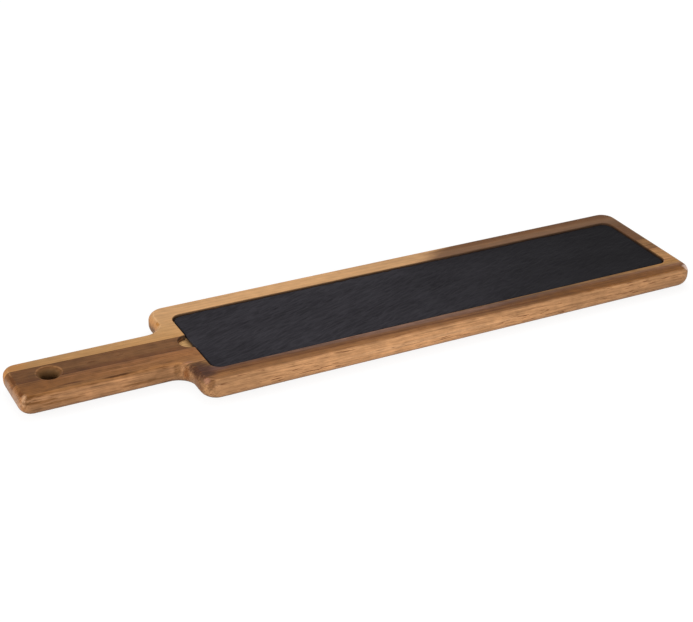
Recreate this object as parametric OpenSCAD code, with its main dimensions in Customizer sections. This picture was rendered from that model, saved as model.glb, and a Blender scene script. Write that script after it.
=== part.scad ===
// Paddle-shaped serving board of edge-glued staves, with a slate slab let into its blade.
// The handle points along -X, the far edge of the board is at +Y, and Z = 0 is the worktop.

/* [Board] */
// Length over all, handle included
board_l = 600; // [450:5:800]
// Width across the blade
board_w = 130; // [116:1:200]
// Thickness of the wood
board_t = 18; // [16:0.5:30]
// Plan radius of the four blade corners
corner_r = 14.5; // [11:0.5:18]
// How far the rounded top edge reaches in over the top face, where it ends in a crisp line
top_edge_reach = 4.2; // [2.5:0.1:5.4]
// How far the rounded top edge reaches down the side
top_edge_drop = 6; // [5:0.25:7.5]
// Radius worked along the bottom edge
bottom_edge_r = 9; // [3:0.5:9.5]

/* [Handle] */
// Length of the handle, from its end to the shoulders
handle_l = 131; // [90:1:180]
// Width of the handle
handle_w = 55; // [42:1:64]
// Plan radius of the two corners at the handle's end
handle_corner_r = 10.5; // [10:0.5:18]
// Plan radius inside each shoulder
shoulder_fillet_r = 12.5; // [5:0.5:20]

/* [Hanging hole] */
// Bore of the hanging hole
hole_d = 13; // [9:0.5:18]
// How far the rounded mouths of the hole reach out over both faces
mouth_reach = 4.2; // [1.5:0.1:5.4]
// How far the rounded mouths reach into the hole
mouth_drop = 6; // [5.5:0.25:7.5]
// Hole centre from the handle's end
hole_from_end = 31; // [25:0.5:45]
// Hole centre from the board's centre line, towards the far edge
hole_off = 1.5; // [0:0.5:4]

/* [Staves] */
// Slant of the glue lines to the board's centre line, degrees
glue_slant = 1.2; // [0:0.05:2.5]
// Dark stave's wood left between the hanging hole and its far glue line
far_line_clear = 5.5; // [4.5:0.25:9]
// Dark stave's wood left between the hanging hole and its near glue line
dark_line_clear = 0.6; // [0.4:0.1:4]
// How far the near stave's glue line passes outside the end of the handle
near_line_clear = 0.4; // [0.2:0.1:3]

/* [Slate] */
// Wood left along each side of the recess
side_rim = 20; // [14:0.5:30]
// Wood left at each end of the recess
end_rim = 15; // [12:0.5:40]
// Corner radius of the slate slab
slate_corner_r = 7.5; // [2:0.5:15]
// Thickness of the slate slab
slate_t = 4; // [3:0.25:8]
// Clearance all round the slate
slate_gap = 1.25; // [0.5:0.25:3]
// How far the slate's face lies below the wood
slate_drop = 0.5; // [0:0.25:1.5]
// Broken edge round the face of the slate
slate_arris = 0.5; // [0.25:0.25:1]

/* [Finger notch] */
// Diameter of the drilled finger notch
notch_d = 20.5; // [16:0.5:26]
// How far the notch reaches past the end of the recess, towards the handle
notch_reach = 9.5; // [7:0.5:12]
// Notch centre from the board's centre line, towards the far edge
notch_off = 1.75; // [0:0.25:8]
// Broken edge round the mouths of the recess and the notch
mouth_arris = 0.5; // [0.25:0.25:1]

/* [Hidden] */
$fn = 64;
overrun = 1; // how far every cutter runs past the face it cuts

// Stations along the board
far_end_x = board_l / 2;
handle_end_x = -board_l / 2;
shoulder_x = handle_end_x + handle_l;
blade_l = board_l - handle_l;
blade_mid_x = shoulder_x + blade_l / 2;

// Radii of the rounded top edge and of the hole's mouths, from how far they reach
top_edge_r = (top_edge_reach * top_edge_reach + top_edge_drop * top_edge_drop) / (2 * top_edge_reach);
mouth_r = (mouth_reach * mouth_reach + mouth_drop * mouth_drop) / (2 * mouth_reach);

// The inside radius of a shoulder is limited by the wall it is worked into
shoulder_wall = (board_w - handle_w) / 2 - corner_r;
shoulder_r = min(shoulder_fillet_r, shoulder_wall - overrun);

// Recess for the slate, from the slab and its clearance
recess_l = blade_l - 2 * end_rim;
recess_w = board_w - 2 * side_rim;
recess_r = slate_corner_r + slate_gap;
recess_depth = slate_t + slate_drop;
recess_floor_z = board_t - recess_depth;
slate_l = recess_l - 2 * slate_gap;
slate_w = recess_w - 2 * slate_gap;
notch_x = blade_mid_x - recess_l / 2 - notch_reach + notch_d / 2;

// Glue lines, as distances from the centre line at the handle's end
slant_at_hole = hole_from_end * tan(glue_slant);
far_line_y = hole_off + hole_d / 2 + far_line_clear + slant_at_hole;
dark_line_y = hole_off - hole_d / 2 - dark_line_clear + slant_at_hole;
near_line_y = -handle_w / 2 - near_line_clear;

wood_light = [0.80, 0.60, 0.38];
wood_dark = [0.42, 0.28, 0.18];
wood_orange = [0.60, 0.40, 0.22];
wood_tan = [0.68, 0.48, 0.30];
slate_black = [0.17, 0.17, 0.19];

// The right side of a disc, from its centre line up or down to a height
module disc_side(r, height, up) {
    mirror([0, up ? 0 : 1])
        intersection() {
            circle(r);
            square([r, height]);
        }
}

// Section through the edge of the board. The outer face is at x = reach.
module edge_section(reach) {
    wall_top = board_t - top_edge_drop;
    square([reach - bottom_edge_r, bottom_edge_r]);
    translate([reach - bottom_edge_r, bottom_edge_r])
        disc_side(bottom_edge_r, bottom_edge_r, false);
    translate([0, bottom_edge_r]) square([reach, wall_top - bottom_edge_r]);
    translate([0, wall_top]) square([reach - top_edge_r, top_edge_drop]);
    translate([reach - top_edge_r, wall_top]) disc_side(top_edge_r, top_edge_drop, true);
}

// Straight run of a section along +X, its outer face towards +Y
module run(length) {
    rotate([90, 0, 90]) linear_extrude(length) children();
}

// Quarter turn of a section about Z, from +X round to +Y
module turn() {
    rotate_extrude(angle = 90) children();
}

module straight_edge(length, reach) {
    run(length) edge_section(reach);
}

module outside_corner(r) {
    turn() edge_section(r);
}

// Quarter turn with the edge on its inner side, from radius r out to r + reach
module inside_corner(r, reach) {
    turn() translate([r + reach, 0]) mirror([1, 0]) edge_section(reach);
}

// The worked edge round one half of the paddle, from the far end to the handle's end
module half_edge() {
    blade_corner_y = board_w / 2 - corner_r;
    handle_corner_y = handle_w / 2 - handle_corner_r;
    fillet_y = handle_w / 2 + shoulder_r;
    translate([far_end_x - corner_r, blade_corner_y]) outside_corner(corner_r);
    translate([shoulder_x + corner_r, blade_corner_y])
        straight_edge(blade_l - 2 * corner_r, corner_r);
    translate([shoulder_x + corner_r, blade_corner_y]) rotate(90) outside_corner(corner_r);
    translate([shoulder_x + corner_r, fillet_y])
        rotate(90) straight_edge(blade_corner_y - fillet_y, corner_r);
    translate([shoulder_x - shoulder_r, fillet_y])
        rotate(-90) inside_corner(shoulder_r, handle_corner_r);
    translate([handle_end_x + handle_corner_r, handle_corner_y])
        straight_edge(handle_l - handle_corner_r - shoulder_r, handle_corner_r);
    translate([handle_end_x + handle_corner_r, handle_corner_y])
        rotate(90) outside_corner(handle_corner_r);
}

// The worked edge across the two ends
module end_edges() {
    far_w = board_w - 2 * corner_r;
    handle_end_w = handle_w - 2 * handle_corner_r;
    translate([far_end_x - corner_r, far_w / 2]) rotate(-90) straight_edge(far_w, corner_r);
    translate([handle_end_x + handle_corner_r, -handle_end_w / 2])
        rotate(90) straight_edge(handle_end_w, handle_corner_r);
}

// Full-thickness middle of the blade, the handle and the neck between the shoulders
module core() {
    blade_core_w = board_w - 2 * corner_r;
    handle_core_w = handle_w - 2 * handle_corner_r;
    fillet_y = handle_w / 2 + shoulder_r;
    linear_extrude(board_t) {
        translate([shoulder_x + corner_r, -blade_core_w / 2])
            square([blade_l - 2 * corner_r, blade_core_w]);
        translate([handle_end_x + handle_corner_r, -handle_core_w / 2])
            square([handle_l - handle_corner_r - shoulder_r, handle_core_w]);
        difference() {
            translate([shoulder_x - shoulder_r, -fillet_y])
                square([shoulder_r + corner_r, 2 * fillet_y]);
            for (side = [-1, 1])
                translate([shoulder_x - shoulder_r, side * fillet_y])
                    circle(shoulder_r + handle_corner_r);
        }
    }
}

module paddle() {
    half_edge();
    mirror([0, 1, 0]) half_edge();
    end_edges();
    core();
}

module rounded_rect(length, width, r) {
    square([length - 2 * r, width], center = true);
    square([length, width - 2 * r], center = true);
    for (sx = [-1, 1], sy = [-1, 1])
        translate([sx * (length / 2 - r), sy * (width / 2 - r)]) circle(r);
}

// A section carried round a rounded rectangle. Its x is measured from the corner centres.
module round_rect_ring(length, width, r) {
    for (side = [[0, length, width], [90, width, length]], turned = [0, 180])
        rotate(side[0] + turned) {
            translate([r - side[1] / 2, side[2] / 2 - r]) run(side[1] - 2 * r) children();
            translate([side[1] / 2 - r, side[2] / 2 - r]) turn() children();
        }
}

// Section of the waste that breaks an edge at (x, z): out = 1 for a mouth, -1 for a rim
module arris_waste(x, z, size, out) {
    translate([x, z])
        polygon([
            [-out * overrun, -size - overrun],
            [out * (size + overrun), overrun],
            [-out * overrun, overrun]
        ]);
}

// Waste for the recess, with its mouth broken
module recess() {
    translate([blade_mid_x, 0, 0]) {
        translate([0, 0, recess_floor_z])
            linear_extrude(recess_depth + overrun) rounded_rect(recess_l, recess_w, recess_r);
        round_rect_ring(recess_l, recess_w, recess_r)
            arris_waste(recess_r, board_t, mouth_arris, 1);
    }
}

// Waste for the finger notch, drilled to the floor of the recess
module notch() {
    translate([notch_x, notch_off, 0]) {
        translate([0, 0, recess_floor_z]) cylinder(d = notch_d, h = recess_depth + overrun);
        rotate_extrude() arris_waste(notch_d / 2, board_t, mouth_arris, 1);
    }
}

// Waste for one rounded mouth of the hanging hole, at the top face
module hole_mouth() {
    translate([0, 0, board_t - mouth_drop])
        rotate_extrude()
            difference() {
                square([hole_d / 2 + mouth_reach, mouth_drop + overrun]);
                translate([hole_d / 2 + mouth_r, 0]) circle(mouth_r);
            }
}

module hanging_hole() {
    translate([handle_end_x + hole_from_end, hole_off, 0]) {
        translate([0, 0, -overrun]) cylinder(d = hole_d, h = board_t + 2 * overrun);
        hole_mouth();
        translate([0, 0, board_t]) mirror([0, 0, 1]) hole_mouth();
    }
}

// The part of the paddle between two slanted glue lines
module stave(from_y, to_y) {
    reach = board_l + board_w;
    difference() {
        intersection() {
            paddle();
            translate([handle_end_x, 0, -overrun])
                rotate(-glue_slant)
                    translate([-reach, from_y, 0])
                        cube([2 * reach, to_y - from_y, board_t + 2 * overrun]);
        }
        recess();
        notch();
        hanging_hole();
    }
}

module far_stave() {
    color(wood_light) stave(far_line_y, board_w);
}

module dark_stave() {
    color(wood_dark) stave(dark_line_y, far_line_y);
}

module middle_stave() {
    color(wood_orange) stave(near_line_y, dark_line_y);
}

module near_stave() {
    color(wood_tan) stave(-board_w, near_line_y);
}

// Slab of slate, lying loose on the floor of the recess
module slate_slab() {
    color(slate_black)
        translate([blade_mid_x, 0, recess_floor_z])
            difference() {
                linear_extrude(slate_t) rounded_rect(slate_l, slate_w, slate_corner_r);
                round_rect_ring(slate_l, slate_w, slate_corner_r)
                    arris_waste(slate_corner_r, slate_t, slate_arris, -1);
            }
}

far_stave();
dark_stave();
middle_stave();
near_stave();
slate_slab();
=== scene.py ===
# Slate serving board: the finish of the staves, the riven slate, and a plain studio round them
import bpy
import math
from mathutils import Matrix, Vector, geometry, noise


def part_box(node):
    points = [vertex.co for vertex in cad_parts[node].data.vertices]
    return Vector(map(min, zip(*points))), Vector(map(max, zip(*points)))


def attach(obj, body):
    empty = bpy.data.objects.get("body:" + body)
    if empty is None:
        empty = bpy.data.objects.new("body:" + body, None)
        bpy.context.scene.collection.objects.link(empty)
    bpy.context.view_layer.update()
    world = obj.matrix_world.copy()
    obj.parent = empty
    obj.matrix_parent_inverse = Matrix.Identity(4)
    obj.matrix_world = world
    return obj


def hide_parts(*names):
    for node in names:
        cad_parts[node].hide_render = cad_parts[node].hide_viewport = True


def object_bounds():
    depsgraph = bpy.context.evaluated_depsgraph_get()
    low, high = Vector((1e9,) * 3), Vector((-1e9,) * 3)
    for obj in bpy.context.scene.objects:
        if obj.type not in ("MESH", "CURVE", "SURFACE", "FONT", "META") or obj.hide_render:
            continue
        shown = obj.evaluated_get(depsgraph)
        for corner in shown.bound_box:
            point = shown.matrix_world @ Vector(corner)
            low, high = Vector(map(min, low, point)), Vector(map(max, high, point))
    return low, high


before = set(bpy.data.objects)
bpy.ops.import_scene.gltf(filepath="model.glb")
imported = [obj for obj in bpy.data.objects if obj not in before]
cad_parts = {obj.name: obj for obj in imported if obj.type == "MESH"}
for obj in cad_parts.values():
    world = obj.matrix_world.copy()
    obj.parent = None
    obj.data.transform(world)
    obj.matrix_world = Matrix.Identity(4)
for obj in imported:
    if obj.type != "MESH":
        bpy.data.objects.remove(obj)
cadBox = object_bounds()
print("frame loaded:", len(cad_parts), "nodes")

mm = 0.001
perMetre = 1000  # mm in a metre
handleEnd = cadBox[0].x / mm  # where the handle ends, mm
boardTop = cadBox[1].z / mm  # the wood's top face, mm
slantPerMm = math.tan(math.radians(1.2))  # how the glue lines and the grain slant
glueLines = {"far": 14.15, "dark": -4.95, "near": -27.9}  # across, at the handle's end, mm
slabLow, slabHigh = (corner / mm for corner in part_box("slate_slab"))


def paint(red, green, blue):
    # a colour as it is read off a screen, made linear for a shader
    linear = []
    for level in (red, green, blue):
        share = level / 255
        linear.append(share / 12.92 if share <= 0.04045 else ((share + 0.055) / 1.055) ** 2.4)
    return (*linear, 1)


def grey(level):
    return (level, level, level, 1)


class Wire:
    # an output socket in a shader tree; an expression of wires adds Math nodes
    def __init__(self, tree, socket=None):
        self.tree = tree
        self.socket = socket

    def add(self, kind, settings=None, inputs=None, out=0):
        # any node: first its settings, then the values or links of its sockets
        node = self.tree.nodes.new("ShaderNode" + kind)
        for name, value in (settings or {}).items():
            if name == "stops":
                setStops(node.color_ramp, value)
            else:
                setattr(node, name, value)
        for name, value in (inputs or {}).items():
            if isinstance(value, Wire):
                self.tree.links.new(value.socket, node.inputs[name])
            else:
                node.inputs[name].default_value = value
        return Wire(self.tree, node.outputs[out] if node.outputs else None)

    def maths(self, operation, *terms):
        return self.add("Math", {"operation": operation}, dict(enumerate(terms)))

    def __add__(self, other):
        return self.maths("ADD", self, other)

    def __radd__(self, other):
        return self.maths("ADD", other, self)

    def __sub__(self, other):
        return self.maths("SUBTRACT", self, other)

    def __rsub__(self, other):
        return self.maths("SUBTRACT", other, self)

    def __mul__(self, other):
        return self.maths("MULTIPLY", self, other)

    def __rmul__(self, other):
        return self.maths("MULTIPLY", other, self)

    def __truediv__(self, other):
        return self.maths("DIVIDE", self, other)

    def __rtruediv__(self, other):
        return self.maths("DIVIDE", other, self)

    def __pow__(self, power):
        return self.maths("POWER", self, power)

    def __rpow__(self, base):
        return self.maths("POWER", base, self)

    def size(self):
        return self.maths("ABSOLUTE", self)

    def root(self):
        return self.maths("SQRT", self)

    def wrap(self):
        return self.maths("FRACT", self)

    def orMore(self, other):
        return self.maths("MAXIMUM", self, other)

    def ease(self, low, high):
        # 0 at low, 1 at high, and smooth between them
        limits = {"Value": self, "From Min": low, "From Max": high}
        return self.add("MapRange", {"interpolation_type": "SMOOTHSTEP"}, limits)

    def fade(self, low, high):
        # 1 at low, 0 at high
        return 1 - self.ease(low, high)

    def split(self):
        node = self.add("SeparateXYZ", None, {0: self}).socket.node
        return [Wire(self.tree, socket) for socket in node.outputs]

    def scaled(self, factor):
        # a colour or vector times a value
        return self.add("VectorMath", {"operation": "SCALE"}, {0: self, "Scale": factor})

    def blend(self, other, share):
        # this colour with some of another laid over it
        return self.add("Mix", {"data_type": "RGBA"}, {0: share, 6: self, 7: other}, out=2)


def setStops(ramp, stops):
    # stops: (place from 0 to 1, colour) in rising order
    while len(ramp.elements) > 1:
        ramp.elements.remove(ramp.elements[-1])
    ramp.elements[0].position = stops[0][0]
    ramp.elements[0].color = stops[0][1]
    for place, colour in stops[1:]:
        ramp.elements.new(place).color = colour


def cloud(along, across, depth, detail=2, rough=0.5):
    # noise about 0, from coordinates that are already divided by the size of its lumps
    spot = along.add("CombineXYZ", None, {0: along, 1: across, 2: depth})
    inputs = {"Vector": spot, "Scale": 1, "Detail": detail, "Roughness": rough}
    return spot.add("TexNoise", None, inputs) - 0.5


def newMaterial(name):
    material = bpy.data.materials.new(name)
    material.use_nodes = True
    material.node_tree.nodes.clear()
    return material, Wire(material.node_tree)


def show(shader):
    shader.add("OutputMaterial", None, {"Surface": shader})


# What is cut into the blade: the recess, and the finger notch at its end. Sizes are in mm.
# Apart from places, a pair of numbers is where a mask begins to change and where it ends.
slateGap = 1.25  # clearance round the slab
# the walls and mouth of the cut carry painted shade, the near lip a painted highlight, and the floor gives
# way to painted shade towards the slab
recess = {
    "middle": (slabLow.x + slabHigh.x) / 2,
    "halfLong": (slabHigh.x - slabLow.x) / 2 + slateGap,
    "halfWide": (slabHigh.y - slabLow.y) / 2 + slateGap,
    "notch": (-153.25, 1.75), "notchRadius": 10.25, "brokenEdge": 0.6, "soft": 0.1,
    "floorColour": (240, 190, 128), "floorDepth": (3.5, 4.2), "floorFacing": (0.8, 0.95),
    "rawShare": 0.3, "rawInNotch": 0.6, "slabShadeSpan": (-158, -151),
    "wallShadeColour": (62, 46, 36), "wallFacing": (0.3, 0.55), "wallShare": 0.95,
    "scoopSpan": (-160, -155), "scoopDepth": (1.2, 2.6), "scoopShare": 0.75,
    "mouthDepth": (0.6, 1.0), "mouthFacing": (0.5, 0.62), "mouthTop": (0.82, 0.95), "mouthShare": 0.8,
    "lipHighlightColour": (178, 138, 118), "lipFacing": (0.2, 0.5), "lipShare": 0.8}
# the colour of the hanging hole is painted shade inside it
hole = {  # the hanging hole, from its middle outward and from the top down
    "place": (-269, 1.5), "reach": (7.0, 10.4), "depth": (0.4, 1.6), "colour": (98, 72, 44),
    "share": 0.8}


def distance(x, y, place):
    return ((x - place[0]) ** 2 + (y - place[1]) ** 2).root()


def insideCut(x, y):
    # 1 inside the recess or the notch, their broken edges included
    soft = recess["soft"]
    long = recess["halfLong"] + recess["brokenEdge"]
    wide = recess["halfWide"] + recess["brokenEdge"]
    reach = recess["notchRadius"] + recess["brokenEdge"]
    inLength = (x - recess["middle"]).size().fade(long, long + soft)
    inWidth = y.size().fade(wide, wide + soft)
    return (inLength * inWidth).orMore(distance(x, y, recess["notch"]).fade(reach, reach + soft))


def cutFaces(x, depth, inside, normalY, normalZ):
    # where the raw floor is, where painted shade darkens the walls and the far and side mouth, and where a
    # painted highlight lights the near lip
    floor = inside * normalZ.ease(*recess["floorFacing"]) * depth.ease(*recess["floorDepth"])
    mouth = inside * normalZ.ease(*recess["mouthFacing"]) * normalZ.fade(*recess["mouthTop"])
    mouth = mouth * depth.fade(*recess["mouthDepth"])
    highlitLip = mouth * normalY.ease(*recess["lipFacing"])
    scooped = x.fade(*recess["scoopSpan"]) * depth.ease(*recess["scoopDepth"])
    shadedWall = inside * normalZ.size().fade(*recess["wallFacing"]) * (1 - scooped * recess["scoopShare"])
    shadedWall = shadedWall + (mouth - highlitLip) * recess["mouthShare"]
    return floor, shadedWall, highlitLip


# The growth rings of a stave run round its pith, so one field colours its top, sides and ends.
# Across is measured square to the grain, from the board's centre line at the handle's end, in mm.
# A pith with a negative depth lies above the top face.
def growthAt(stave, across):
    return math.hypot(across - stave["pith"][0], stave["pith"][1])


def growthColour(stave, growth, colours):
    # the colours that are given across the top face, laid out in the order of the rings
    stops = sorted((growthAt(stave, across), paint(*colour)) for across, colour in colours)
    low = stops[0][0]
    high = stops[-1][0]
    places = [((ring - low) / (high - low), colour) for ring, colour in stops]
    return growth.add("ValToRGB", {"stops": places}, {0: (growth - low) / (high - low)})


def toneAlong(x, tones):
    # how bright the wood is at each place along the board, as a factor; the ramp holds half of it
    low = tones[0][0]
    high = tones[-1][0]
    greys = [((place - low) / (high - low), (tone / 2, tone / 2, tone / 2, 1)) for place, tone in tones]
    return x.add("ValToRGB", {"stops": greys}, {0: (x - low) / (high - low)}).split()[0] * 2


# The layers of the grain: the size of their lumps along, across and down, then detail and roughness
layers = {
    "sway": (150, 40, 40, 2, 0.5), "ripple": (34, 7, 7, 2, 0.5), "heartEdge": (26, 6, 9, 3, 0.5),
    "ragged": (8, 1.7, 1.7, 3, 0.65), "rub": (12, 4, 4, 2, 0.5), "late": (70, 5, 5, 2, 0.5),
    "fibre": (28, 0.5, 0.5, 3, 0.6), "strand": (40, 1.1, 1.1, 3, 0.7), "band": (120, 3.4, 3.4, 2, 0.5),
    "patch": (38, 6, 6, 2, 0.5), "pores": (12, 0.8, 0.8, 1, 0.5), "finePores": (2.8, 0.32, 0.32, 1, 0.5)}


def layer(name, spot, shift=0):
    # one layer's noise; the shift gives each stave its own
    long, wide, deep, detail, rough = layers[name]
    x, across, depth = spot
    return cloud(x / long + shift, across / wide, depth / deep, detail, rough)


def addHeart(stave, colour, growth, spot):
    # heartwood, where the stave has both kinds
    heart = stave["heart"]
    x, across = spot[:2]
    edge = x - heart["from"] - (across - heart["across"]) * heart["lean"]
    edge = edge + layer("heartEdge", spot) * heart["ragged"]
    heartColour = growthColour(stave, growth, heart["colours"])
    return colour.blend(heartColour, edge.ease(0, heart["fade"]))


markEdge = {"ragged": 2.4, "fade": 1.5}


def addMarks(stave, colour, spot):
    # stains, knots and streaks, and painted highlights, reflections and shade, each at its own place
    x, across, depth = spot
    ragged = layer("ragged", spot, stave["seed"]) * markEdge["ragged"]
    for mark in stave["marks"]:
        reach = ((x - mark["x"]) / mark["long"]) ** 2
        reach = reach + ((across - mark["across"]) / mark["wide"]) ** 2
        reach = reach + ((depth - mark["depth"]) / mark["deep"]) ** 2
        share = (reach + ragged).fade(0, markEdge["fade"])
        colour = colour.blend(paint(*mark["colour"]), share * mark["strength"])
    return colour


# Late wood, shimmer and pores: sizes in mm, then the edges of the pores' masks
grain = {
    "driftSize": (8, 260), "drift": 1.6, "lateWander": 0.5, "lateSharpness": 3,
    "shimmerLong": 9, "shimmerWide": 7, "shimmerSlant": 40,
    "poreWhere": (-0.08, 0.12), "poreEdge": (0.09, 0.17), "finePoreEdge": (0.10, 0.24),
    "finePoreShare": 0.3}


def addGrain(stave, colour, growth, spot):
    # late wood, fibres and pores along the grain, and the shimmer across it
    x, across, depth = spot
    shift = stave["seed"]
    drift = cloud(growth / grain["driftSize"][0], x / grain["driftSize"][1], 0)
    rings = growth / stave["ringGap"] + drift * grain["drift"]
    late = (rings + layer("late", spot) * grain["lateWander"]).wrap() ** grain["lateSharpness"]
    fibre = layer("fibre", spot, shift)
    patch = layer("patch", spot, shift)
    slanted = across / grain["shimmerWide"] + x / grain["shimmerSlant"]
    shimmer = cloud(x / grain["shimmerLong"], slanted, depth / grain["shimmerWide"])
    light = 1 + fibre * stave["fibre"] + layer("strand", spot, shift) * stave["strand"]
    light = light + layer("band", spot, shift) * stave["band"]
    light = light + shimmer * stave["shimmer"] + patch * stave["patch"] - late * stave["late"]
    colour = colour.scaled(light)
    pores = layer("pores", spot, shift).ease(*grain["poreEdge"]) * patch.ease(*grain["poreWhere"])
    finePores = layer("finePores", spot).ease(*grain["finePoreEdge"])
    colour = colour.blend(paint(*stave["poreColour"]), pores * stave["pores"])
    colour = colour.blend(paint(*stave["poreColour"]), finePores * stave["pores"] * grain["finePoreShare"])
    return colour, fibre, pores, finePores


# How the faces differ, how the worked edge has worn and catches a painted highlight, and where painted
# shade darkens its lower edge.
# A pair of numbers is where a mask begins to change and where it ends.
wear = {
    "endFacing": (0.45, 0.9), "ringFacing": (0.85, 0.97), "topFacing": 0.95,
    "arrisFacing": (0.82, 0.90), "arrisTop": (0.95, 0.99), "arrisDepth": (1.0, 1.6), "rub": (-0.3, 0.1),
    "lowDepth": (12, 16.5), "lowFacing": (-0.99, -0.9), "lowShade": 0.34}
glue = {"colour": (58, 36, 24), "width": (0.12, 0.45), "facing": (0.4, 0.9), "share": 0.5}
# What each layer adds to the roughness and to the height of the bump
oil = {
    "fibreRough": 0.2, "poreRough": 0.2, "cutRough": 0.3, "fibreHeight": 0.35, "poreHeight": 0.9,
    "finePoreHeight": 0.35, "bump": 0.6, "bumpHeight": 0.12}


def woodFinish(stave):
    material, bench = newMaterial(stave["node"] + "_wood")
    x, y, z = (axis * perMetre for axis in bench.add("TexCoord", out="Object").split())
    across = y + (x - handleEnd) * slantPerMm
    depth = boardTop - z
    spot = (x, across, depth)
    normalX, normalY, normalZ = bench.add("TexCoord", out="Normal").split()

    sway = layer("sway", spot, stave["seed"]) * stave["sway"]
    ripple = layer("ripple", spot, stave["seed"]) * stave["ripple"]
    fromPith = (across - stave["pith"][0]) ** 2 + (depth - stave["pith"][1]) ** 2
    sideShift = x * stave["edgeLean"] + stave["edgeStep"]
    growth = fromPith.root() + sway + ripple + normalZ.fade(*wear["ringFacing"]) * sideShift
    colour = growthColour(stave, growth, stave["colours"])
    if "heart" in stave:
        colour = addHeart(stave, colour, growth, spot)

    # the ends show the rings, browner or more orange than the faces
    endFace = normalX.size().ease(*wear["endFacing"])
    colour = colour.blend(paint(*stave["endColour"]), endFace * stave["endShare"])
    edge = normalZ.fade(stave["edgeFrom"], wear["topFacing"])
    tone = toneAlong(x, stave["tones"])
    tone = tone + (toneAlong(x, stave["sideTones"]) - tone) * edge
    colour = colour.blend(paint(*stave["edgeColour"]), edge * stave["edgeShare"]).scaled(tone)

    # the arris of the worked edge is rubbed lighter, partly wear and partly a painted highlight, and the
    # lower edge is darkened with painted shade
    inside = insideCut(x, y)
    arris = normalZ.ease(*wear["arrisFacing"]) * normalZ.fade(*wear["arrisTop"])
    arris = arris * depth.fade(*wear["arrisDepth"]) * (1 - inside)
    rubbedAndHighlit = arris * layer("rub", spot).ease(*wear["rub"])
    colour = colour.blend(paint(*stave["arrisHighlightColour"]), rubbedAndHighlit * stave["arris"])
    # painted shade on the lower edge, where it faces down
    lowEdgeShade = depth.ease(*wear["lowDepth"]) * normalZ.ease(*wear["lowFacing"]) * (1 - inside)
    colour = colour.scaled(1 - lowEdgeShade * wear["lowShade"])

    # the marks with their painted highlights and shade, then what is cut through them with its painted
    # shade and highlight, then the grain
    floor, shadedWall, highlitLip = cutFaces(x, depth, inside, normalY, normalZ)
    colour = addMarks(stave, colour, spot)
    # the raw floor shows less towards the slab, where painted shade of the slab's edge darkens it
    rawOutOfShade = recess["rawShare"] + x.fade(*recess["slabShadeSpan"]) * recess["rawInNotch"]
    colour = colour.blend(paint(*recess["floorColour"]), floor * rawOutOfShade)
    # painted shade on the walls and the mouth of the cut
    colour = colour.blend(paint(*recess["wallShadeColour"]), shadedWall * recess["wallShare"])
    # painted highlight on the near lip of the cut
    colour = colour.blend(paint(*recess["lipHighlightColour"]), highlitLip * recess["lipShare"])
    colour, fibre, pores, finePores = addGrain(stave, colour, growth, spot)

    # painted shade darkens the inside of the hanging hole
    holeShade = distance(x, y, hole["place"]).fade(*hole["reach"]) * depth.ease(*hole["depth"])
    colour = colour.blend(paint(*hole["colour"]), holeShade * hole["share"])

    # the glued joints, as dark hairlines
    for line in stave["joints"]:
        hair = (across - glueLines[line]).size().fade(*glue["width"])
        hair = hair * normalY.size().fade(*glue["facing"])
        colour = colour.blend(paint(*glue["colour"]), hair * glue["share"])

    rough = stave["rough"] + fibre * oil["fibreRough"] + pores * oil["poreRough"]
    rough = rough + (floor + shadedWall) * oil["cutRough"]
    height = fibre * oil["fibreHeight"] - pores * oil["poreHeight"] - finePores * oil["finePoreHeight"]
    relief = {"Strength": oil["bump"], "Distance": oil["bumpHeight"] * mm, "Height": height}
    bump = bench.add("Bump", None, relief)
    show(bench.add("BsdfPrincipled", None, {
        "Base Color": colour, "Roughness": rough, "Normal": bump,
        "Specular IOR Level": stave["sheen"]}))
    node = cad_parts[stave["node"]]
    node.data.materials.clear()
    node.data.materials.append(material)
    print("wood finished:", stave["node"])


farStave = {
    "node": "far_stave", "edgeStep": 0, "edgeLean": 0, "edgeFrom": 0.5, "seed": 3.7, "pith": (140, 70),
    "colours": [
        (14, (198, 147, 92)), (21, (200, 151, 98)), (30, (200, 153, 102)), (44, (204, 157, 108)),
        (58, (206, 159, 111)), (72, (200, 153, 106)), (80, (192, 145, 98))],
    "tones": [
        (-300, 0.76), (-240, 0.85), (-190, 0.94), (-160, 0.99), (-120, 1.10), (-20, 1.12),
        (60, 0.97), (200, 0.97), (240, 0.90), (280, 0.86), (300, 0.87)],
    "sideTones": [(-300, 1.0), (300, 1.0)],
    "heart": {
        "from": 82, "across": 60, "lean": 1.2, "ragged": 40, "fade": 30,
        "colours": [
            (14, (118, 81, 52)), (38, (112, 77, 50)), (50, (116, 82, 54)), (57, (124, 91, 66)),
            (62, (130, 95, 66)), (66, (120, 81, 50)), (70, (106, 70, 42)), (80, (104, 72, 48))]},
    "marks": [
        {"x": -292, "across": 21, "depth": 4, "long": 12, "wide": 9, "deep": 9,
         "colour": (190, 122, 62), "strength": 0.5},
        # painted highlight on the rounded corner of the far shoulder
        {"x": -166.6, "across": 40.7, "depth": 1.0, "long": 1.8, "wide": 3.4, "deep": 1.6,
         "colour": (176, 118, 56), "strength": 0.8},
        # painted shade on the far shoulder's side wall
        {"x": -171, "across": 49, "depth": 10, "long": 4, "wide": 16, "deep": 5.5,
         "colour": (104, 80, 62), "strength": 0.8}],
    "sway": 6, "ripple": 1.2, "ringGap": 3.4, "late": 0.12, "fibre": 0.30, "strand": 0.34,
    "band": 0.30, "shimmer": 0.36, "patch": 0.30, "pores": 0.3, "poreColour": (140, 92, 52),
    "endColour": (196, 130, 72), "endShare": 0.5, "arris": 0.4, "arrisHighlightColour": (226, 184, 138),
    "edgeColour": (200, 150, 102), "edgeShare": 0.2, "joints": ["far"], "rough": 0.45, "sheen": 0.04}

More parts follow.
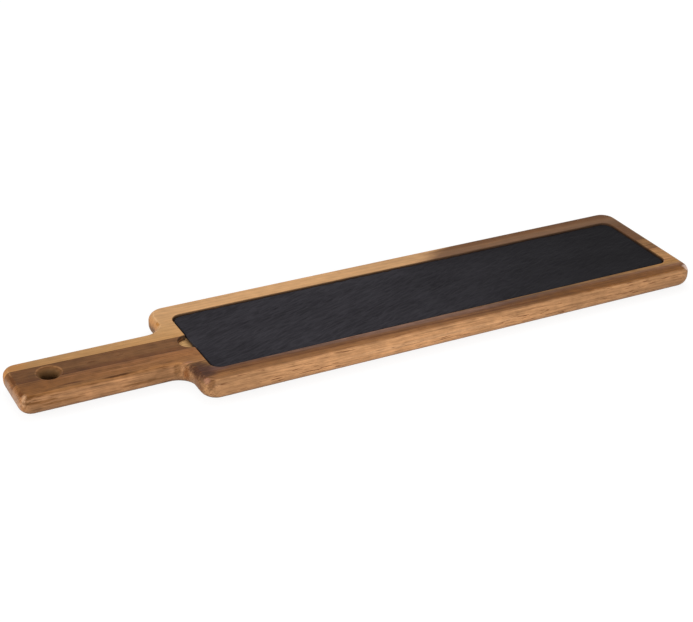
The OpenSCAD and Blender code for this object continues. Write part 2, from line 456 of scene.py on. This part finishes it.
darkStave = {
    "node": "dark_stave", "edgeStep": 0, "edgeLean": 0, "edgeFrom": 0.5, "seed": 11.2, "pith": (-60, 55),
    "colours": [
        (-5, (110, 70, 42)), (-2, (112, 72, 42)), (2, (122, 83, 50)), (8, (124, 84, 51)),
        (14.2, (116, 77, 46))],
    "tones": [(-300, 0.80), (-250, 0.85), (-228, 0.92), (-210, 0.98), (-160, 1.04), (300, 1.0)],
    "sideTones": [(-300, 1.0), (300, 1.0)],
    "marks": [
        {"x": 296, "across": 5, "depth": 3, "long": 60, "wide": 13, "deep": 14,
         "colour": (146, 106, 66), "strength": 0.85},
        {"x": -291, "across": 8, "depth": 3, "long": 12, "wide": 10, "deep": 8,
         "colour": (104, 66, 36), "strength": 0.4},
        {"x": -297, "across": 3, "depth": 0.6, "long": 2.0, "wide": 7, "deep": 1.3,
         "colour": (96, 56, 28), "strength": 0.8},
        # painted reflection on the handle's end face
        {"x": -301, "across": 4, "depth": 9, "long": 3, "wide": 15, "deep": 7,
         "colour": (188, 152, 126), "strength": 0.7}],
    "sway": 3, "ripple": 1.0, "ringGap": 2.8, "late": 0.16, "fibre": 0.8, "strand": 0.6,
    "band": 0.30, "shimmer": 0.85, "patch": 0.65, "pores": 0.6, "poreColour": (72, 44, 28),
    "endColour": (160, 104, 56), "endShare": 0.5, "arris": 0.45, "arrisHighlightColour": (180, 130, 84),
    "edgeColour": (140, 96, 62), "edgeShare": 0.3, "joints": ["far", "dark"], "rough": 0.45,
    "sheen": 0.04}

middleStave = {
    "node": "middle_stave", "edgeStep": 0, "edgeLean": 0, "edgeFrom": 0.5, "seed": 21.9, "pith": (120, -40),
    "colours": [
        (-34, (140, 98, 62)), (-31, (146, 103, 66)), (-28, (152, 107, 68)), (-25, (150, 103, 62)),
        (-20, (144, 97, 57)), (-13, (142, 94, 55)), (-8, (140, 93, 56)), (-5, (134, 89, 56))],
    "tones": [
        (-300, 0.80), (-250, 0.90), (-220, 0.97), (-190, 1.07), (-160, 1.22), (0, 1.2), (300, 1.42)],
    "sideTones": [
        (-300, 0.98), (-262, 1.14), (-220, 1.22), (-186, 0.88), (-170, 1.0), (300, 1.2)],
    "marks": [
        {"x": -286, "across": -14, "depth": 0, "long": 26, "wide": 12, "deep": 3,
         "colour": (128, 80, 34), "strength": 0.4},
        {"x": -259, "across": -19, "depth": 0, "long": 11, "wide": 0.9, "deep": 2,
         "colour": (84, 50, 28), "strength": 0.9},
        {"x": -223, "across": -22.2, "depth": 0.3, "long": 14, "wide": 0.9, "deep": 1.6,
         "colour": (84, 50, 28), "strength": 0.9},
        {"x": -206, "across": -14, "depth": 0, "long": 30, "wide": 1.2, "deep": 2,
         "colour": (172, 122, 80), "strength": 0.5},
        {"x": -297, "across": -18.5, "depth": 0.9, "long": 2.2, "wide": 4, "deep": 1.6,
         "colour": (104, 60, 30), "strength": 0.75},
        {"x": -292.6, "across": -24.2, "depth": 1.6, "long": 4.5, "wide": 1.8, "deep": 2.4,
         "colour": (104, 64, 30), "strength": 0.7},
        # painted highlights at the handle's near end corner, on its top and down its side
        {"x": -295.6, "across": -22.3, "depth": 1.4, "long": 2, "wide": 2, "deep": 2.2,
         "colour": (206, 162, 124), "strength": 0.7},
        {"x": -297.2, "across": -23.8, "depth": 5, "long": 2, "wide": 2, "deep": 4,
         "colour": (200, 158, 122), "strength": 0.6},
        # painted reflection on the handle's end face
        {"x": -301, "across": -13, "depth": 9, "long": 3, "wide": 15, "deep": 7,
         "colour": (188, 152, 126), "strength": 0.7},
        {"x": -177, "across": -26, "depth": 4, "long": 3.4, "wide": 4, "deep": 6,
         "colour": (112, 76, 42), "strength": 0.6},
        {"x": 296, "across": -16, "depth": 3, "long": 90, "wide": 13, "deep": 14,
         "colour": (180, 134, 84), "strength": 0.8},
        {"x": -286, "across": -25.5, "depth": 5.5, "long": 16, "wide": 4, "deep": 1.6,
         "colour": (108, 68, 34), "strength": 0.8},
        {"x": -270, "across": -26, "depth": 8.5, "long": 20, "wide": 4, "deep": 1.2,
         "colour": (118, 78, 44), "strength": 0.7},
        {"x": -206, "across": -25, "depth": 9, "long": 18, "wide": 4, "deep": 1.3,
         "colour": (104, 68, 38), "strength": 0.7},
        # painted highlight on the near shoulder's fillet
        {"x": -168, "across": -25.5, "depth": 1.2, "long": 5, "wide": 2.2, "deep": 2.2,
         "colour": (186, 132, 104), "strength": 0.5}],
    "sway": 4, "ripple": 1.6, "ringGap": 2.4, "late": 0.24, "fibre": 0.85, "strand": 1.0,
    "band": 0.22, "shimmer": 0.75, "patch": 0.60, "pores": 0.8, "poreColour": (98, 60, 34),
    "endColour": (176, 112, 58), "endShare": 0.5, "arris": 0.15, "arrisHighlightColour": (196, 146, 100),
    "edgeColour": (172, 128, 92), "edgeShare": 0.5, "joints": ["dark", "near"], "rough": 0.42,
    "sheen": 0.04}

nearStave = {
    "node": "near_stave", "edgeStep": 2.6, "edgeLean": 0.016, "edgeFrom": 0.8, "seed": 31.4,
    "pith": (80, -50),
    "colours": [
        (-72, (166, 120, 80)), (-68, (172, 126, 86)), (-64, (170, 124, 84)), (-60, (162, 116, 76)),
        (-56, (152, 107, 67)), (-54.2, (148, 102, 62)), (-53, (144, 98, 58)), (-50.6, (142, 97, 57)),
        (-49.4, (124, 81, 46)), (-48, (106, 67, 38)), (-46, (120, 80, 48)), (-43.5, (100, 66, 45)),
        (-41, (111, 79, 62)), (-39, (121, 90, 71)), (-37, (138, 101, 66)), (-33, (150, 108, 60)),
        (-28, (150, 106, 62))],
    "tones": [
        (-300, 1.0), (-130, 1.02), (-60, 1.08), (10, 1.20), (70, 1.08), (120, 0.80), (170, 0.80),
        (220, 0.96), (262, 1.36), (300, 1.40)],
    "sideTones": [
        (-170, 0.90), (-130, 1.0), (-60, 1.24), (20, 1.32), (100, 1.22), (180, 1.06), (260, 0.94),
        (300, 1.0)],
    "marks": [
        {"x": -164, "across": -40, "depth": 0.5, "long": 12, "wide": 15, "deep": 5.5,
         "colour": (74, 46, 35), "strength": 0.95},
        {"x": -150, "across": -43, "depth": 0.5, "long": 9, "wide": 4, "deep": 3,
         "colour": (112, 80, 70), "strength": 0.6},
        {"x": -171, "across": -29.6, "depth": 7.5, "long": 3.6, "wide": 2.8, "deep": 7,
         "colour": (132, 80, 42), "strength": 0.8},
        # painted shade on the near shoulder's side wall
        {"x": -170, "across": -46, "depth": 9, "long": 4, "wide": 9, "deep": 5,
         "colour": (118, 76, 48), "strength": 0.6},
        {"x": -10, "across": -41.5, "depth": 0, "long": 120, "wide": 3.4, "deep": 4,
         "colour": (138, 106, 90), "strength": 0.5},
        {"x": 240, "across": -46, "depth": 0, "long": 130, "wide": 8, "deep": 1.0,
         "colour": (122, 76, 30), "strength": 0.8},
        {"x": 30, "across": -58, "depth": 6.5, "long": 90, "wide": 8, "deep": 1.8,
         "colour": (224, 172, 126), "strength": 0.6},
        {"x": -162.4, "across": -57.4, "depth": 3.4, "long": 3.4, "wide": 3.4, "deep": 5,
         "colour": (106, 66, 36), "strength": 0.65},
        # painted highlight on the blade's near-left corner
        {"x": -165, "across": -54.6, "depth": 1.5, "long": 2.8, "wide": 3, "deep": 2.4,
         "colour": (172, 122, 100), "strength": 0.7},
        # painted highlight on the blade's near-right corner
        {"x": 295.5, "across": -45.5, "depth": 1.8, "long": 5, "wide": 4, "deep": 3,
         "colour": (250, 222, 208), "strength": 0.85}],
    "sway": 1.6, "ripple": 1.4, "ringGap": 3.0, "late": 0.20, "fibre": 0.75, "strand": 1.0,
    "band": 0.26, "shimmer": 0.60, "patch": 0.45, "pores": 0.95, "poreColour": (102, 62, 38),
    "endColour": (160, 106, 62), "endShare": 0.5, "arris": 0.4, "arrisHighlightColour": (200, 148, 108),
    "edgeColour": (184, 137, 96), "edgeShare": 0.8, "joints": ["near"], "rough": 0.42,
    "sheen": 0.04}

staves = (farStave, darkStave, middleStave, nearStave)
for stave in staves:
    woodFinish(stave)


# The slate: a slab split along its bed, so its face is rippled and its edges are chipped.
# The shape comes first, in mm from the slab's middle; rest is the depth that its relief starts from.
# Then comes the look: colours, spans along the board in mm, and what each layer adds.
slab = {
    "step": 0.9, "arris": 0.45, "cornerRadius": 7.5, "sharpAngle": 38, "rest": 0.6,
    "swell": 0.16, "swellSize": (80, 45), "warp": 1.6, "warpSize": (34, 20),
    "ripple": 0.34, "rippleSize": (12, 3.0), "rippleAngle": 20, "rippleSharpness": 2.2,
    "rippleMiddle": -50, "rippleReach": 150, "rippleLeast": 0.45, "rippleMore": 0.75,
    "terrace": 0.098, "terraceShare": (0.55, 0.22), "terraceWarp": 0.3,
    "terraceLevels": (-0.22, 0.0, 0.2), "terraceSoft": 0.05, "grain": 0.04, "grainSize": 1.9,
    "underside": 0.5, "rimShares": (0.12, 0.45, 0.8), "chip": 0.28, "flakeSize": (2.4, 0.9),
    "chipSize": 7, "chipWhere": (0.25, 0.5),
    "deep": (33, 31, 35), "pale": (58, 56, 61), "edge": (84, 82, 84),
    "edgeFacing": (0.55, 0.9), "edgeShare": 0.35, "mistEdge": (-0.16, 0.18), "wander": 8,
    "crestEdge": (0, 0.12), "tone": 0.32, "mistTone": 0.25, "streakTone": 1.4, "crestTone": 0.34,
    "ground": 0.13, "speckTone": 0.3, "reliefLeast": 0.42, "reliefMore": 0.55,
    "reliefSpan": (-20, 260), "sheenFalloffSpan": (-60, 280), "sheenFalloffShare": 0.68, "endSpan": (-150, -90),
    "endShare": 0.08, "streakHeight": 1.2, "crestHeight": 0.3, "speckHeight": 0.25, "pitHeight": 0.8,
    "bump": 0.8, "bumpHeight": 0.22, "rough": 0.62, "streakRough": 0.3, "edgeRough": 0.2,
    "sheen": 0.03}
# Each noise has a height of its own, so that no two are alike
noiseLevel = {"warp": 4, "ripple": 9, "terrace": 17, "grain": 25, "chip": 3, "underside": 50}
rippleTurn = math.radians(slab["rippleAngle"])
slateMiddle = (slabLow + slabHigh) / 2
faceLong = (slabHigh.x - slabLow.x) / 2 - slab["arris"]
faceWide = (slabHigh.y - slabLow.y) / 2 - slab["arris"]
faceRadius = slab["cornerRadius"] - slab["arris"]
columns = round(2 * faceLong / slab["step"])
rows = round(2 * faceWide / slab["step"])


def smoothShare(value, low, high):
    # 0 at low, 1 at high, and smooth between them
    share = min(max((value - low) / (high - low), 0), 1)
    return share * share * (3 - 2 * share)


def lump(x, y, level):
    # noise about 0
    return noise.noise(Vector((x, y, level)))


def alongRipples(x, y):
    # x and y turned to run along and across the ripples
    long = x * math.cos(rippleTurn) + y * math.sin(rippleTurn)
    wide = y * math.cos(rippleTurn) - x * math.sin(rippleTurn)
    return long, wide


def rivenDepth(x, y, side):
    # how far the split face lies below the highest point of the slab
    long, wide = alongRipples(x, y)
    p = long / slab["rippleSize"][0]
    q = wide / slab["rippleSize"][1]
    swell = lump(x / slab["swellSize"][0], y / slab["swellSize"][1], side) * slab["swell"]
    warp = lump(x / slab["warpSize"][0], y / slab["warpSize"][1], side + noiseLevel["warp"])
    warp *= slab["warp"]
    ridge = 1 - abs(lump(p, q + warp, side + noiseLevel["ripple"])) * slab["rippleSharpness"]
    fromMiddle = (x - slab["rippleMiddle"]) / slab["rippleReach"]
    strong = slab["rippleLeast"] + slab["rippleMore"] * math.exp(-fromMiddle ** 2)
    along = p * slab["terraceShare"][0]
    across = q * slab["terraceShare"][1] + warp * slab["terraceWarp"]
    rise = lump(along, across, side + noiseLevel["terrace"])
    steps = sum(smoothShare(rise, low, low + slab["terraceSoft"]) for low in slab["terraceLevels"])
    size = slab["grainSize"]
    grains = lump(x / size, y / size, side + noiseLevel["grain"]) * slab["grain"]
    return slab["rest"] + swell + steps * slab["terrace"] - ridge * slab["ripple"] * strong + grains


def faceWidthAt(x):
    # half the face's width at x, its corners rounded
    inCorner = max(abs(x) - (faceLong - faceRadius), 0)
    return faceWide - faceRadius + math.sqrt(max(faceRadius ** 2 - inCorner ** 2, 0))


def splitFace(points, faces, level, side, sign):
    # one face as a grid, sign 1 for the top; gives the points round its edge, in order
    start = len(points)
    rough = 1 if sign > 0 else slab["underside"]
    for i in range(columns + 1):
        x = faceLong * (2 * i / columns - 1)
        wide = faceWidthAt(x)
        for j in range(rows + 1):
            y = wide * (2 * j / rows - 1)
            points.append((x, y, level - sign * rivenDepth(x, y, side) * rough))
    for i in range(columns):
        for j in range(rows):
            a = start + i * (rows + 1) + j
            quad = (a, a + rows + 1, a + rows + 2, a + 1)
            faces.append(quad if sign > 0 else quad[::-1])
    loop = [start + i * (rows + 1) for i in range(columns)]
    loop += [start + columns * (rows + 1) + j for j in range(rows)]
    loop += [start + i * (rows + 1) + rows for i in range(columns, 0, -1)]
    loop += [start + j for j in range(rows, 0, -1)]
    return loop


def chippedRing(points, topRim, bottomRim, share):
    # a ring of points round the edge, at a share of the way down, flaked and chipped
    ring = []
    for k, top in enumerate(topRim):
        before = Vector(points[topRim[k - 1]][:2])
        after = Vector(points[topRim[(k + 1) % len(topRim)]][:2])
        run = (after - before).normalized()
        outward = Vector((run.y, -run.x))
        x, y, z = points[top]
        zHere = z + (points[bottomRim[k]][2] - z) * share
        size, high = slab["flakeSize"]
        flake = abs(lump(x / size, y / size, zHere / high)) * slab["chip"]
        chip = lump(x / slab["chipSize"], y / slab["chipSize"], noiseLevel["chip"])
        chip = smoothShare(chip, *slab["chipWhere"]) * slab["chip"] * (1 - share)
        offset = slab["arris"] - flake - chip
        ring.append(len(points))
        points.append((x + outward.x * offset, y + outward.y * offset, zHere))
    return ring


def makeSlate():
    points = []
    faces = []
    topRim = splitFace(points, faces, slabHigh.z, 0, 1)
    bottomRim = splitFace(points, faces, slabLow.z, noiseLevel["underside"], -1)
    levels = [topRim]
    levels += [chippedRing(points, topRim, bottomRim, share) for share in slab["rimShares"]]
    levels.append(bottomRim)
    for upper, lower in zip(levels, levels[1:]):
        for k in range(len(topRim)):
            after = (k + 1) % len(topRim)
            faces.append((upper[k], lower[k], lower[after], upper[after]))

    mesh = bpy.data.meshes.new("riven_slate")
    spots = [((x + slateMiddle.x) * mm, (y + slateMiddle.y) * mm, z * mm) for x, y, z in points]
    mesh.from_pydata(spots, [], faces)
    mesh.validate()
    mesh.polygons.foreach_set("use_smooth", [True] * len(mesh.polygons))
    mesh.set_sharp_from_angle(angle=math.radians(slab["sharpAngle"]))
    slate = bpy.data.objects.new("riven_slate", mesh)
    bpy.context.scene.collection.objects.link(slate)
    slate.data.materials.append(slateFinish())
    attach(slate, "slate")
    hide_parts("slate_slab")
    print("slate split:", len(points), "points")


# The layers of the slate's tone and bump, as those of the grain
layers.update({
    "mist": (60, 28, 20, 3, 0.5), "wander": (80, 46, 20, 2, 0.5), "streak": (17, 1.7, 1, 2, 0.6),
    "crest": (22, 3.4, 9, 1, 0.5), "speck": (0.7, 0.7, 0.7, 1, 0.5), "pit": (2.2, 2.2, 2.2, 3, 0.5)})


def slateFinish():
    material, bench = newMaterial("riven_slate_face")
    spot = [axis * perMetre for axis in bench.add("TexCoord", out="Object").split()]
    x, y, z = spot
    long, wide = alongRipples(x, y)
    rippled = (long, wide + layer("wander", spot) * slab["wander"], z)
    mist = layer("mist", spot).ease(*slab["mistEdge"])
    streak = layer("streak", rippled)
    crest = layer("crest", rippled).size().fade(*slab["crestEdge"])
    speck = layer("speck", spot)

    # the streaks and crests in the tone are partly the slate's own banding and partly painted shade and
    # light of its ripples, the more so to the left
    relief = slab["reliefLeast"] + x.fade(*slab["reliefSpan"]) * slab["reliefMore"]
    bandsAndRippleShade = streak * slab["streakTone"] + crest * slab["crestTone"] - slab["ground"]
    tone = slab["tone"] + mist * slab["mistTone"] + bandsAndRippleShade * relief + speck * slab["speckTone"]
    ramp = [(0, paint(*slab["deep"])), (1, paint(*slab["pale"]))]
    colour = bench.add("ValToRGB", {"stops": ramp}, {0: tone})
    # painted sheen: the slate is lighter at the left and falls darker towards the right
    paintedSheenFalloff = 1 - x.ease(*slab["sheenFalloffSpan"]) * slab["sheenFalloffShare"]
    colour = colour.scaled(paintedSheenFalloff - x.fade(*slab["endSpan"]) * slab["endShare"])
    normalZ = bench.add("TexCoord", out="Normal").split()[2]
    edge = normalZ.size().fade(*slab["edgeFacing"])
    colour = colour.blend(paint(*slab["edge"]), edge * slab["edgeShare"])

    height = streak * slab["streakHeight"] + crest * slab["crestHeight"]
    height = height + speck * slab["speckHeight"] + layer("pit", spot) * slab["pitHeight"]
    bumpInputs = {"Strength": slab["bump"], "Distance": slab["bumpHeight"] * mm, "Height": height}
    bump = bench.add("Bump", None, bumpInputs)
    rough = slab["rough"] + streak * slab["streakRough"] + edge * slab["edgeRough"]
    show(bench.add("BsdfPrincipled", None, {
        "Base Color": colour, "Roughness": rough, "Normal": bump,
        "Specular IOR Level": slab["sheen"]}))
    return material


makeSlate()


# The studio: a white floor, a white surround and soft lamps, in metres and watts
studio = {
    "floorSize": 12, "floorColour": 0.5, "floorSeen": 0.2, "floorGlow": 0.86, "ambient": 0.32,
    "touching": 0.00001, "weld": 0.000001,
    "lamps": [
        {"name": "overhead", "place": (0.6, 1.0, 2.0), "size": (2.4, 1.6), "power": 24},
        {"name": "front", "place": (-0.9, -2.2, 0.7), "size": (2.8, 0.9), "power": 50},
        {"name": "left", "place": (-2.0, 0.5, 0.7), "size": (1.2, 0.9), "power": 14},
        {"name": "below", "place": (0.2, -0.9, -1.8), "size": (2.4, 2.4), "power": 30}]}


def seenDirectly(bench):
    # 1 for the rays that show a surface to the eye, straight on, in a gloss or through something clear
    rays = bench.add("LightPath").socket.node.outputs
    names = ("Is Camera Ray", "Is Glossy Ray", "Is Transmission Ray")
    camera, glossy, through = (Wire(bench.tree, rays[name]) for name in names)
    return camera.orMore(glossy).orMore(through)


def woodContact():
    # the triangles of the wood's underside, where it stands on the floor
    contact = []
    for stave in staves:
        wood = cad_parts[stave["node"]]
        wood.data.calc_loop_triangles()
        spots = [wood.matrix_world @ vertex.co for vertex in wood.data.vertices]
        for triangle in wood.data.loop_triangles:
            if max(spots[index].z for index in triangle.vertices) < studio["touching"]:
                contact.append([spots[index].xy for index in triangle.vertices])
    return contact


def makeFloor():
    # open right under the wood and clear from below, so that the underside can be looked at
    half = studio["floorSize"] / 2
    contact = woodContact()
    corners = [Vector(corner) for corner in ((-half, -half), (half, -half), (half, half), (-half, half))]
    edges = [(0, 1), (1, 2), (2, 3), (3, 0)]
    for a, b, c in contact:
        first = len(corners)
        corners += [a, b, c]
        edges += [(first, first + 1), (first + 1, first + 2), (first + 2, first)]
    cut = geometry.delaunay_2d_cdt(corners, edges, [], 0, studio["weld"])
    spots = cut[0]
    tiles = []
    for tile in cut[2]:
        a, b, c = (spots[index] for index in tile)
        centre = (a + b + c) / 3
        if not any(geometry.intersect_point_tri_2d(centre, *corner) for corner in contact):
            tiles.append(tile if (b - a).cross(c - a) > 0 else tile[::-1])
    mesh = bpy.data.meshes.new("floor")
    mesh.from_pydata([(spot.x, spot.y, 0) for spot in spots], [], tiles)
    print("floor laid:", len(tiles), "tiles")
    mesh.materials.append(floorFinish())
    floor = bpy.data.objects.new("floor", mesh)
    bpy.context.scene.collection.objects.link(floor)


def floorFinish():
    material, bench = newMaterial("floor_paper")
    paper = bench.add("BsdfDiffuse", None, {"Color": grey(studio["floorColour"])})
    shadow = bench.add("BsdfDiffuse", None, {"Color": grey(studio["floorSeen"])})
    glow = bench.add("Emission", None, {"Strength": studio["floorGlow"]})
    white = bench.add("AddShader", None, {0: shadow, 1: glow})
    top = bench.add("MixShader", None, {0: seenDirectly(bench), 1: paper, 2: white})
    clear = bench.add("BsdfTransparent")
    below = bench.add("NewGeometry", out="Backfacing")
    show(bench.add("MixShader", None, {0: below, 1: top, 2: clear}))
    return material


def makeWorld():
    world = bpy.data.worlds.new("surround")
    world.use_nodes = True
    world.node_tree.nodes.clear()
    bench = Wire(world.node_tree)
    light = bench.add("Background", None, {"Color": grey(1), "Strength": studio["ambient"]})
    white = bench.add("Background", None, {"Color": grey(1), "Strength": 1})
    seen = bench.add("MixShader", None, {0: seenDirectly(bench), 1: light, 2: white})
    bench.add("OutputWorld", None, {"Surface": seen})
    bpy.context.scene.world = world


def makeLamps():
    # each faces the board's middle
    for lamp in studio["lamps"]:
        light = bpy.data.lights.new(lamp["name"], "AREA")
        light.shape = "RECTANGLE"
        light.size, light.size_y = lamp["size"]
        light.energy = lamp["power"]
        holder = bpy.data.objects.new(lamp["name"], light)
        place = Vector(lamp["place"])
        holder.location = place
        holder.rotation_euler = place.to_track_quat("Z", "Y").to_euler()
        bpy.context.scene.collection.objects.link(holder)


# The camera that was fitted to the photograph: angles in degrees, places in mm, range in metres
view = {
    "azimuth": -29.077, "elevation": 28.762, "roll": 2.195,
    "aim": (-19.02, -7.27, 18.37), "distance": 1220.45, "lens": 77.12, "sensor": 36,
    "range": (0.01, 100)}


def makeCamera():
    azimuth = math.radians(view["azimuth"])
    elevation = math.radians(view["elevation"])
    roll = math.radians(view["roll"])
    # back points from what the camera looks at to the camera
    back = Vector((math.sin(azimuth) * math.cos(elevation), -math.cos(azimuth) * math.cos(elevation),
                   math.sin(elevation)))
    level = Vector((math.cos(azimuth), math.sin(azimuth), 0))
    upright = back.cross(level)
    across = level * math.cos(roll) + upright * math.sin(roll)
    up = upright * math.cos(roll) - level * math.sin(roll)
    data = bpy.data.cameras.new("eye")
    data.lens = view["lens"]
    data.sensor_width = view["sensor"]
    data.clip_start, data.clip_end = view["range"]
    camera = bpy.data.objects.new("eye", data)
    place = Vector(view["aim"]) * mm + back * view["distance"] * mm
    turned = Matrix((across, up, back)).transposed().to_4x4()
    camera.matrix_world = Matrix.Translation(place) @ turned
    bpy.context.scene.collection.objects.link(camera)
    bpy.context.scene.camera = camera


makeFloor()
makeWorld()
makeLamps()
makeCamera()
bpy.context.scene.view_settings.view_transform = "Standard"
print("studio set")
